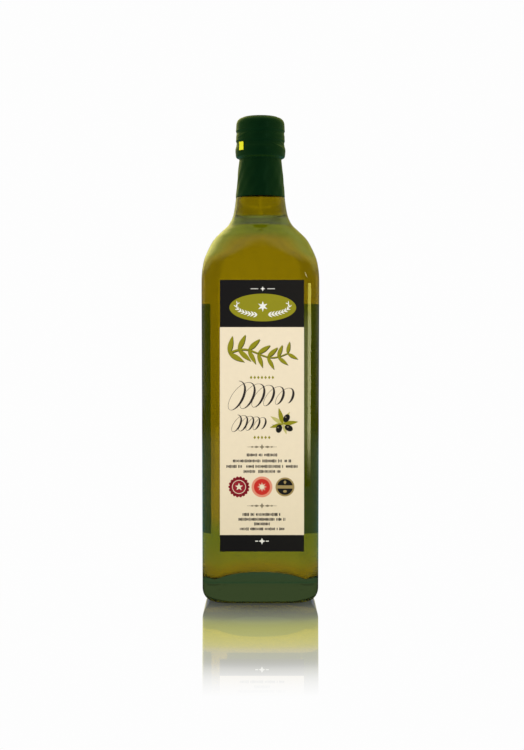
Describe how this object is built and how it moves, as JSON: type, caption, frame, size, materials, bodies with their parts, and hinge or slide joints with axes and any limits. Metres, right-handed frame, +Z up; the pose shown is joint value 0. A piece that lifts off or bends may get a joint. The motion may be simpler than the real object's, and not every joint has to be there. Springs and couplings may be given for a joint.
{
  "type": "olive oil bottle",
  "caption": "Square glass bottle of golden olive oil with a round neck, dark green shrunk capsule, yellow tear tab and paper labels on its front and back faces.",
  "frame": {"origin": "middle of the base, on the surface that the bottle stands on", "axes": "+Z up the bottle towards its cap, +X to the right of the front label, the front label looks along -Y"},
  "size_m": [0.0756, 0.0766, 0.316],
  "materials": {
    "green_glass": "clear pale green bottle glass, polished",
    "oil": "clear golden green oil",
    "capsule_film": "satin dark green shrunk film",
    "tab_film": "satin yellow film",
    "label_paper": "smooth printed cream paper with black bands"
  },
  "bodies": {
    "root": {"glass_bottle": "green_glass", "olive_oil": "oil", "capsule": "capsule_film", "tear_tab": "tab_film", "front_label": "label_paper", "back_label": "label_paper"}
  },
  "joints": []
}
